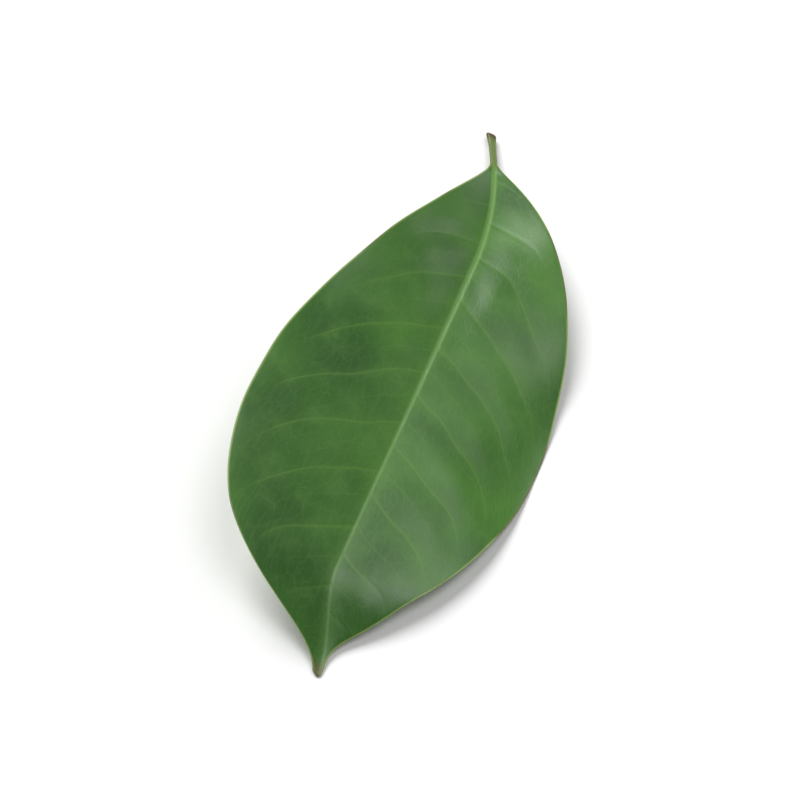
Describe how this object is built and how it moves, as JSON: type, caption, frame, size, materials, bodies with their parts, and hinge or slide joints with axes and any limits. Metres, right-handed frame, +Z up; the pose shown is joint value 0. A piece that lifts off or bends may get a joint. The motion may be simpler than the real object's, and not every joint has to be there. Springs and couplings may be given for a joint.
{
  "type": "soursop leaf",
  "caption": "Glossy green elliptic leaf with a short drip tip, a midrib raised below and a short stalk, lying face up on a surface.",
  "frame": {"origin": "middle of the leaf's footprint, on the surface that it lies on", "axes": "+Y along the leaf from its tip to its stalk, +Z up, with the glossy upper side facing up"},
  "size_m": [0.0598, 0.148, 0.0258],
  "materials": {
    "leaf": "satin leathery leaf, deep green and glossy above, paler and matt below"
  },
  "bodies": {
    "root": {"leaf": "leaf"}
  },
  "joints": []
}
